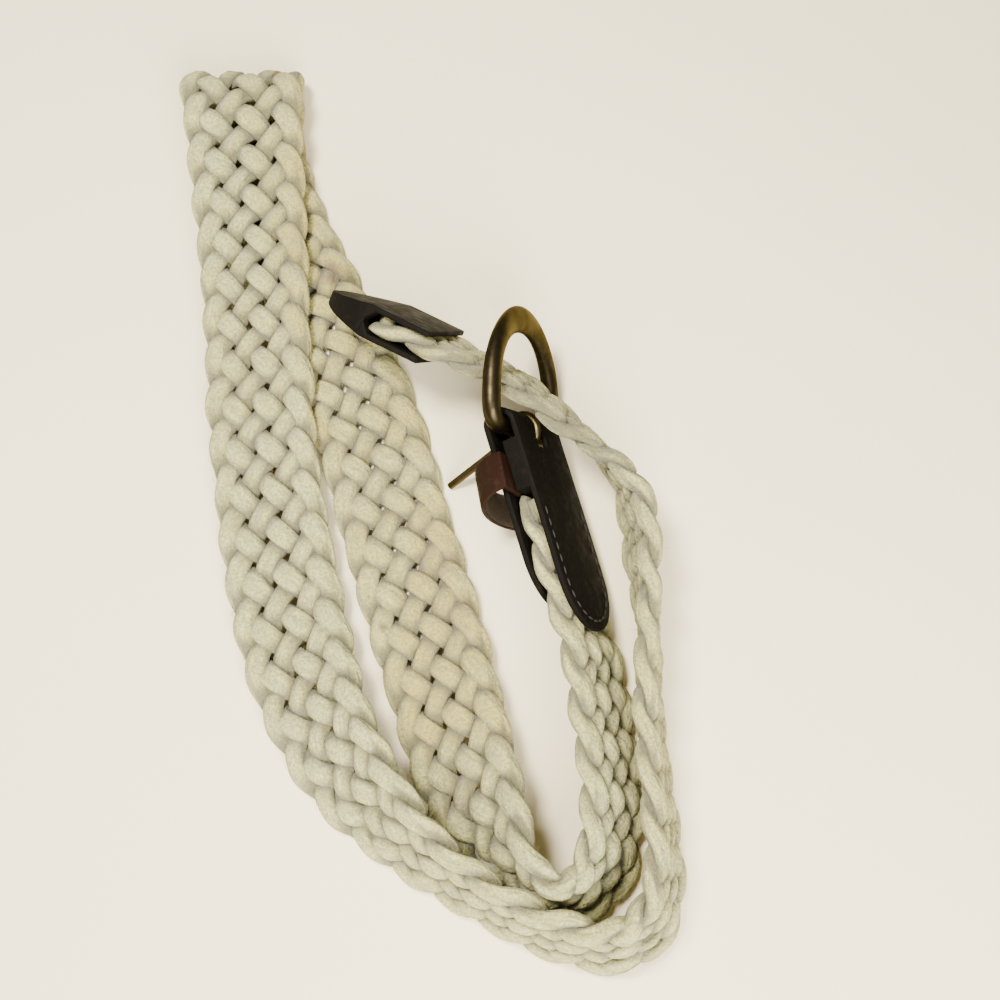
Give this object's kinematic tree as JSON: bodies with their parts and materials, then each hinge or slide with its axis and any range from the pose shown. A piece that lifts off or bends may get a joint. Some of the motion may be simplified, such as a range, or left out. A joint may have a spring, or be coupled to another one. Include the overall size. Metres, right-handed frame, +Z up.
{
  "type": "woven belt",
  "caption": "Flat braided cotton belt with leather tab, keeper and tip and a brass D buckle, lying folded with its tip through the buckle.",
  "frame": {"origin": "middle of the bounding box at the surface the belt lies on", "axes": "+Z up, +Y towards the far fold, +X to the right as the picture shows the belt"},
  "size_m": [0.148, 0.2666, 0.0444],
  "materials": {
    "cotton": "matte, soft braided cord",
    "black_leather": "worn, slight gloss",
    "brown_leather": "worn, slight gloss",
    "brass": "antique, polished on the high places"
  },
  "bodies": {
    "belt": {"woven_strap": "cotton", "strap_tip": "black_leather", "buckle_tab": "black_leather", "keeper_loop": "brown_leather"},
    "frame": {"buckle_frame": "brass"},
    "prong": {"prong": "brass"}
  },
  "joints": [
    {"name": "frame_hinge", "type": "hinge", "parent": "belt", "child": "frame", "pos_m": [0.0313, 0.00935, 0.0211], "axis": [-0.4153, -0.1863, 0.8904], "range_deg": [-9, 0]},
    {"name": "prong_hinge", "type": "hinge", "parent": "frame", "child": "prong", "pos_m": [0.0313, 0.00935, 0.0211], "axis": [-0.4153, -0.1863, 0.8904], "range_deg": [-60, 18]}
  ]
}
